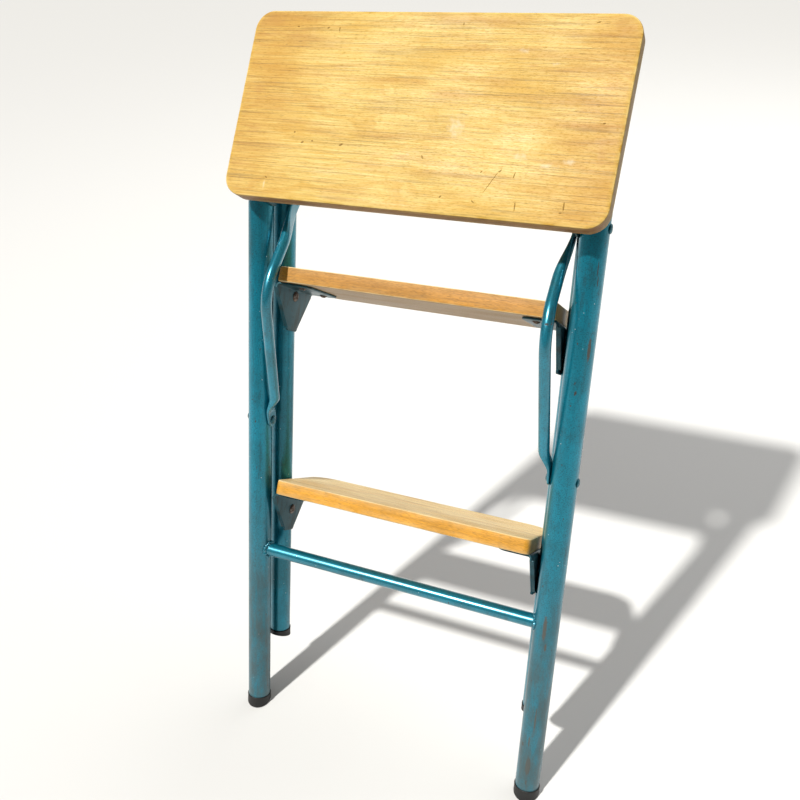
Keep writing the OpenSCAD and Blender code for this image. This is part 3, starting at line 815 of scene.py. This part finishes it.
def hinge_plate(drop, shift):
    """Flange under the seat, bent down into an ear beside the leg, whose face is at x = 0.

    The pin is at the origin and the flange's top is at z = drop.
    """
    # Flange, from its free edge to the bend
    path = []
    corner = 3 * MM
    for away, thick in rounded_end(corner):
        narrow = corner - math.sqrt(max(corner ** 2 - (corner - away) ** 2, 0))
        path.append((away - FLANGE_W, drop - PLATE_T / 2, 0.0, shift - FLANGE_HALF + narrow,
                     shift + FLANGE_HALF - narrow, thick))
    path += quarter_bend(drop, shift - FLANGE_HALF, shift + FLANGE_HALF)
    # Ear, tapering to a round end about the pin
    taper_top, x = drop - 8 * MM, -PLATE_T / 2
    for i in range(1, 13):
        share = i / 12
        low = (shift - FLANGE_HALF) * (1 - share) - EAR_R * share
        high = (shift + FLANGE_HALF) * (1 - share) + EAR_R * share
        path.append((x, taper_top * (1 - share), math.pi / 2, low, high, PLATE_T))
    for i in range(1, 12):
        a = math.pi / 2 * i / 12
        half = EAR_R * math.cos(a)
        path.append((x, -EAR_R * math.sin(a), math.pi / 2, -half, half,
                     PLATE_T if i < 11 else PLATE_T * 0.6))
    return bent_sheet(path)


def mirrored(shape, sign):
    """Turns a right-hand shape into a left-hand one where sign is -1."""
    if sign < 0:
        shape.move(Matrix.Scale(-1, 4, (1, 0, 0)))
    return shape


# Place along the seat, the ears' outer face, and how far back the flange sits
PLATES = {
    "front": (0.0, front_in - GAP, 14 * MM),
    "rear": (hinge_gap, rear_in - GAP, 0.0),
}
for end, (along, face, shift) in PLATES.items():
    for side, sign in SIDES.items():
        piece(f"{end}_hinge_{side}", mirrored(hinge_plate(seat_under, shift), sign),
              SEAT @ moved(sign * face, along, 0), "seat", SHADED_PLATE_PAINT,
              [f"hinge_plate_{end}_{side}"])


# The gusset's half width under the tread, its depth down the leg, and its tip's half width
GUSSET_HALF, GUSSET_DEPTH, GUSSET_TIP = 41 * MM, 50 * MM, 12 * MM
TIP_SHIFT = -8 * MM
REACH = 40 * MM
LIP_W, LIP_T, LIP_BEND_R = 5 * MM, 1.9 * MM, 1.5 * MM


def gusset_lip(top, run):
    """Narrow flange turned out from a gusset's sloping edge, which goes from top along run."""
    path = [(-PLATE_T / 2, LIP_BEND_R + 1.5 * MM, math.pi / 2, LIP_T)]
    for i in range(7):
        a = math.pi / 2 * i / 6
        path.append((-PLATE_T / 2 - LIP_BEND_R * (1 - math.cos(a)),
                     LIP_BEND_R * (1 - math.sin(a)) + LIP_T / 2, math.pi / 2 + a, LIP_T))
    path += [(back - LIP_W, LIP_T / 2, math.pi, thick)
             for back, thick in ((0.8 * MM, LIP_T), (0.2 * MM, LIP_T), (0.0, LIP_T * 0.5))]
    # The lip's own frame: X across the stool, Y down the slope and Z towards the leg.
    down = run.normalized()
    axes = Matrix((
        (1, 0, 0, top.x),
        (0, down.y, -down.z, top.y),
        (0, down.z, down.y, top.z),
        (0, 0, 0, 1),
    ))
    rings = []
    for x, z, angle, thick in path:
        place = moved(x, 0, z) @ Matrix.Rotation(angle, 4, "Y")
        ring = sheet_ring(0.5 * MM, run.length, thick, place)
        rings.append([axes @ Vector((-PLATE_T - point.x, point.y, point.z)) for point in ring])
    return rings


def gusset():
    """Stamped bracket: a flange under the tread, a triangle on the leg and a front lip.

    The tread's underside is at z = 0, the leg's inner side at x = 0 and its axis at y = 0.
    """
    # Flange, from its rounded free end to the bend
    path = []
    tongue = 12 * MM
    for i in range(9):
        a = math.pi / 2 * i / 8
        away = tongue * (1 - math.cos(a))
        half = GUSSET_HALF - tongue + tongue * math.sin(a)
        thick = PLATE_T * {0: 0.45, 1: 0.85}.get(i, 1)
        path.append((away - REACH, -PLATE_T / 2, 0.0, -half, half, thick))
    path += quarter_bend(0, -GUSSET_HALF, GUSSET_HALF)
    # Triangle, tapering to a rounded tip
    x, top_z, tip_r = -PLATE_T / 2, -6 * MM, 4 * MM
    tip_y, tip_z = GUSSET_DEPTH * math.tan(rear_lean) + TIP_SHIFT, tip_r - GUSSET_DEPTH
    for i in range(15):
        share = i / 14
        low = -GUSSET_HALF * (1 - share) + (tip_y - GUSSET_TIP) * share
        high = GUSSET_HALF * (1 - share) + (tip_y + GUSSET_TIP) * share
        path.append((x, top_z + (tip_z - top_z) * share, math.pi / 2, low, high, PLATE_T))
    for i in range(1, 9):
        a = math.pi / 2 * i / 9
        half = GUSSET_TIP - tip_r * (1 - math.cos(a))
        path.append((x, tip_z - tip_r * math.sin(a), math.pi / 2,
                     tip_y - half, tip_y + half, PLATE_T if i < 8 else PLATE_T * 0.7))
    top = Vector((0, -GUSSET_HALF, top_z))
    return bent_sheet(path).rings(
        gusset_lip(top, Vector((0, tip_y - GUSSET_TIP, tip_z)) - top))


for step in ("upper", "lower"):
    under = tread_under[step]
    for side, sign in SIDES.items():
        place = STEPS @ moved(sign * rear_in, -under * math.tan(rear_lean), under)
        piece(f"{step}_gusset_{side}", mirrored(gusset(), sign), place, "step_frame",
              SHADED_PLATE_PAINT, [f"tread_bracket_{step}_{side}"])


# ---- Struts ----------------------------------------------------------------------------

STRUT_R = 6 * MM
FLAT_T, FLAT_R = 3 * MM, 8 * MM
# (Y, Z) of the knee in the strut's frame
KNEE = Vector((-38.5 * MM, 163 * MM))
KNEE_R = 60 * MM
# Where each end stops being flat and where the tube is round again, from that end
LOW_FLAT, LOW_ROUND = 11 * MM, 31 * MM
TOP_FLAT, TOP_ROUND = 9 * MM, 58 * MM

head = STRUT.inverted() @ strut_head
strut_top = Vector((head.y, head.z))
# The tube's axis above the knee and at its foot, then the outer faces of its flat ends
strut_x = rear_in - 0.5 * MM - STRUT_R
strut_low_x = rear_in + 1 * MM
low_flat_x = front_in - GAP
top_flat_x = rear_in - GAP

low_dir = KNEE.normalized()
top_dir = (strut_top - KNEE).normalized()
low_angle = math.atan2(low_dir.x, low_dir.y)
knee_angle = math.atan2(top_dir.x, top_dir.y) - low_angle
knee_cut = KNEE_R * math.tan(knee_angle / 2)
bend_from = KNEE.length - knee_cut
bend_to = bend_from + KNEE_R * knee_angle
strut_len = bend_to + (strut_top - KNEE).length - knee_cut
bend_centre = bend_from * low_dir + KNEE_R * Vector((low_dir.y, -low_dir.x))


def within(share):
    return min(max(share, 0), 1)


def eased(share):
    t = within(share)
    return t * t * (3 - 2 * t)


def strut_angle(s):
    return low_angle + knee_angle * within((s - bend_from) / (bend_to - bend_from))


def strut_point(s):
    if s < bend_from:
        return s * low_dir
    if s > bend_to:
        return strut_top - (strut_len - s) * top_dir
    a = strut_angle(s)
    return bend_centre + KNEE_R * Vector((-math.cos(a), math.sin(a)))


def roundness(s):
    if s < strut_len / 2:
        return eased((s - LOW_FLAT) / (LOW_ROUND - LOW_FLAT))
    return eased((strut_len - s - TOP_FLAT) / (TOP_ROUND - TOP_FLAT))


def strut_ring(s, sign):
    """Cross-section at s along the strut: round in the middle, nearly a rectangle when flat."""
    p, a, r = strut_point(s), strut_angle(s), roundness(s)
    past = max(-s, s - strut_len, 0)
    half = math.sqrt(max((FLAT_R + (STRUT_R - FLAT_R) * r) ** 2 - past ** 2, 1e-8))
    thick = FLAT_T / 2 + (STRUT_R - FLAT_T / 2) * r
    flat_x = low_flat_x if s < strut_len / 2 else top_flat_x
    tube_x = strut_low_x + (strut_x - strut_low_x) * within(s / bend_to)
    x = (flat_x - FLAT_T / 2) * (1 - r) + tube_x * r
    power = 2 / (5 - 3 * r)
    ring = []
    for c, d, _ in circle(1, 0, 40):
        across = thick * math.copysign(abs(c) ** power, c)
        along = half * math.copysign(abs(d) ** power, d)
        ring.append((sign * (x + across), p.x + along * math.cos(a), p.y - along * math.sin(a)))
    return ring


def strut(sign):
    ends = [FLAT_R * math.cos(math.radians(6 + 14 * i)) for i in range(7)]
    places = [-d for d in ends] + [LOW_FLAT * i / 3 for i in range(3)]
    places += [LOW_FLAT + (strut_len - TOP_FLAT - LOW_FLAT) * i / 90 for i in range(91)]
    places += [strut_len - TOP_FLAT * (1 - i / 3) for i in range(1, 4)]
    places += [strut_len + d for d in reversed(ends)]
    return Shape().rings([strut_ring(s, sign) for s in places])


STRUT_PAINT = {
    "left": paint("teal_left_strut", 8.0, gloss=1.0),
    "right": paint("teal_right_strut", 9.0, bare=[((157, -38, 168), (9, 3, 2))],
                   gloss=1.0),
}
for side, sign in SIDES.items():
    piece(f"{side}_strut_tube", strut(sign), STRUT, f"{side}_strut", STRUT_PAINT[side],
          [f"strut_{side}"])


# ---- Rivets and screws -----------------------------------------------------------------

HEAD_H = 2 * MM
HEAD_R, GUSSET_HEAD_R = 5 * MM, 6 * MM
HINGE_PIN_R, STRUT_PIN_R, GUSSET_PIN_R = 3.5 * MM, 3 * MM, 2.5 * MM


def head_outline(radius, grip):
    """Outline of a snap head from its rim to its top, on a shank that ends at grip."""
    rim_h = 0.175 * MM
    points = [(radius * 0.97, grip), (radius, grip + rim_h)]
    for i in range(1, 11):
        a = math.pi / 2 * i / 10
        flat = 0.9 + 0.1 * math.cos(a)
        points.append((radius * math.cos(a) * 0.985,
                       grip + rim_h + (HEAD_H - rim_h) * math.sin(a) * flat / 0.9))
    return [(r, min(z, grip + HEAD_H)) for r, z in points]


def rivet(pin_r, head_r, start, end, far_head=True):
    """Rivet along X from start to end, with a head before start and one past end."""
    grip = end - start
    outline = [(0.0, -HEAD_H)] + [(r, -z) for r, z in reversed(head_outline(head_r, 0.0))]
    outline += [(pin_r, 0.0), (pin_r, grip)]
    outline += head_outline(head_r, grip) if far_head else []
    outline.append((0.0, outline[-1][1]))
    place = moved(start, 0, 0) @ Matrix.Rotation(math.pi / 2, 4, "Y")
    return Shape().lathe(outline, place, turns=40)


def rivet_pair(name, pin_r, start, end, place, body, node):
    """A left and a right rivet. The left one stands for the CAD node, which holds both."""
    for side, sign in SIDES.items():
        piece(f"{name}_{side}", mirrored(rivet(pin_r, HEAD_R, start, end), sign), place, body,
              RIVET_PAINT, [node] if sign < 0 else ())


rivet_pair("front_hinge_rivet", HINGE_PIN_R, front_in - PLATE_T - 2 * GAP, front_x + front_r,
           FRONT @ moved(0, 0, front_len), "front_frame", "front_hinge_rivets")
rivet_pair("strut_pivot_rivet", STRUT_PIN_R, front_in - FLAT_T - 2 * GAP, front_x + front_r,
           STRUT, "front_frame", "strut_pivot_rivets")
rivet_pair("rear_hinge_rivet", HINGE_PIN_R, rear_in - PLATE_T - 2 * GAP, rear_x + rear_r,
           REAR, "step_frame", "rear_hinge_rivets")
for side, sign in SIDES.items():
    shape = rivet(STRUT_PIN_R, HEAD_R, top_flat_x - FLAT_T, top_flat_x, far_head=False)
    piece(f"{side}_strut_rivet", mirrored(shape, sign),
          STRUT @ moved(0, strut_top.x, strut_top.y), f"{side}_strut", RIVET_PAINT,
          [f"strut_rivet_{side}"])

# How far a gusset's rivet is below the tread's underside
RIVET_DROP = {"upper": 10 * MM, "lower": 23 * MM}
for step, drop in RIVET_DROP.items():
    along = (tread_under[step] - drop) / math.cos(rear_lean) - rear_len
    for side, sign in SIDES.items():
        shape = rivet(GUSSET_PIN_R, GUSSET_HEAD_R, rear_in - PLATE_T, rear_in + TUBE_WALL,
                      far_head=False)
        first = step == "upper" and sign < 0
        piece(f"{step}_gusset_rivet_{side}", mirrored(shape, sign), REAR @ moved(0, 0, along),
              "step_frame", STEEL, ["bracket_rivets"] if first else ())


def slotted_screw(angle):
    """Round-headed wood screw, point up, from the underside of a plate at z = -PLATE_T."""
    head_r, head_h = 4.5 * MM, 2.4 * MM
    ball = (head_r ** 2 + head_h ** 2) / (2 * head_h)
    slot_half, slot_deep, slot_edge, slot_floor = 0.55 * MM, 1.1 * MM, 0.12 * MM, 0.25 * MM
    shank_r, shank_top, point = 2 * MM, 6 * MM, 9.3 * MM
    columns = [-1, -0.92, -0.8, -0.65, -0.5, -0.35, -0.22]
    xs = [c * head_r for c in columns]
    xs += [-slot_half - slot_edge, -slot_half, 0, slot_half, slot_half + slot_edge]
    xs += [-c * head_r for c in reversed(columns)]
    shape = Shape()
    rows = 17
    for x in xs:
        half = math.sqrt(max(head_r ** 2 - x ** 2, (0.02 * head_r) ** 2))
        for j in range(rows):
            y = half * math.sin(math.pi / 2 * (2 * j / (rows - 1) - 1))
            height = math.sqrt(max(ball ** 2 - x ** 2 - y ** 2, 0)) - ball + head_h
            if abs(x) <= slot_half and abs(y) < half:
                height = max(height - slot_deep, slot_floor)
            shape.points.append(Vector((x, y, -PLATE_T - max(height, 0))))
            shape.wear.append(0.0)
    for i in range(len(xs) - 1):
        for j in range(rows - 1):
            base = i * rows + j
            shape.faces.append((base, base + 1, base + rows + 1, base + rows))
    # A flat back closes the head, and the shank goes up into the wood.
    last = len(xs) - 1
    rim = [i * rows for i in range(last + 1)]
    rim += [last * rows + j for j in range(1, rows)]
    rim += [i * rows + rows - 1 for i in range(last - 1, -1, -1)]
    rim += range(rows - 2, 0, -1)
    shape.faces.append(tuple(rim))
    shape.lathe([(0.0, -PLATE_T), (shank_r, -PLATE_T), (shank_r, shank_top), (0.0, point)],
                turns=20)
    return shape.move(Matrix.Rotation(angle, 4, "Z"))


def screws(name, places, frame_of, body, node):
    """Screws with their slots at odd angles. The first stands for the CAD node."""
    for number, (x, y, z) in enumerate(places):
        angle = 0.6 + number * 1.9
        piece(f"{name}_{number + 1}", slotted_screw(angle), frame_of @ moved(x, y, z), body,
              STEEL, [node] if number == 0 else (), sharp=30)


# Tread screws: half their spacing, and how far in from the leg they are
TREAD_SCREW_Y = TREAD_SCREW_IN = 26 * MM
tread_places = [
    (sign * (rear_in - TREAD_SCREW_IN),
     -tread_under[step] * math.tan(rear_lean) + y, tread_under[step])
    for step in ("upper", "lower")
    for sign in (-1, 1)
    for y in (-TREAD_SCREW_Y, TREAD_SCREW_Y)
]
seat_places = [
    (sign * (face - FLANGE_W / 2), along + shift + y, seat_under)
    for along, face, shift in PLATES.values()
    for sign in (-1, 1)
    for y in (-SCREW_Y, SCREW_Y)
]
screws("tread_screw", tread_places, STEPS, "step_frame", "tread_screws")
screws("seat_screw", seat_places, SEAT, "seat", "seat_screws")


# ---- Floor, light and camera -----------------------------------------------------------

# Half the floor's width
FLOOR = 30.0
floor_mesh = bpy.data.meshes.new("floor")
floor_mesh.from_pydata(
    [(-FLOOR, -FLOOR, 0), (FLOOR, -FLOOR, 0), (FLOOR, FLOOR, 0), (-FLOOR, FLOOR, 0)],
    [], [(0, 1, 2, 3)])
floor_mesh.materials.append(
    Graph("pale_floor").finish(Base_Color=(0.74, 0.735, 0.72), Roughness=0.9))
floor = bpy.data.objects.new("floor", floor_mesh)
bpy.context.scene.collection.objects.link(floor)

world = bpy.data.worlds.new("studio")
bpy.context.scene.world = world
world.use_nodes = True
world.node_tree.nodes["Background"].inputs["Color"].default_value = (1.0, 0.99, 0.97, 1)
world.node_tree.nodes["Background"].inputs["Strength"].default_value = 0.16


def aimed(name, data, target, azimuth, elevation, distance, roll=0.0):
    """Adds a lamp or camera that looks at target.

    Azimuth 0 is at -Y and 90 at +X. Angles are in degrees.
    """
    a, e = math.radians(azimuth), math.radians(elevation)
    away = Vector((math.sin(a) * math.cos(e), -math.cos(a) * math.cos(e), math.sin(e)))
    thing = bpy.data.objects.new(name, data)
    thing.location = target + away * distance
    thing.rotation_mode = "QUATERNION"
    thing.rotation_quaternion = ((-away).to_track_quat("-Z", "Y").to_matrix()
                                 @ Matrix.Rotation(math.radians(roll), 3, "Z")).to_quaternion()
    bpy.context.scene.collection.objects.link(thing)
    return thing


LIT = Vector((0, 0, 0.42))


def area_light(name, azimuth, elevation, distance, size, power, colour=(1, 1, 1)):
    data = bpy.data.lights.new(name, "AREA")
    data.shape, data.size, data.energy, data.color = "DISK", size, power, colour
    aimed(name, data, LIT, azimuth, elevation, distance)


sun = bpy.data.lights.new("key", "SUN")
sun.energy, sun.angle, sun.color = 4.0, math.radians(3), (1.0, 0.985, 0.95)
aimed("key", sun, LIT, azimuth=-27, elevation=54, distance=2.6)
area_light("fill", azimuth=-50, elevation=35, distance=3.0, size=2.2, power=3,
           colour=(0.95, 0.98, 1.0))
# A pale wall behind the stool lights its back.
area_light("wall", azimuth=150, elevation=48, distance=2.6, size=2.4, power=36)

# Camera at the photograph's viewing angle
camera_data = bpy.data.cameras.new("camera")
camera_data.lens, camera_data.sensor_width = 38.66, 36
camera_data.clip_start = 0.05
bpy.context.scene.camera = aimed("camera", camera_data, Vector((-0.0116, 0.0102, 0.4213)),
                                 azimuth=25.85, elevation=33.65, distance=0.9554, roll=-4.45)
bpy.context.scene.view_settings.view_transform = "Standard"
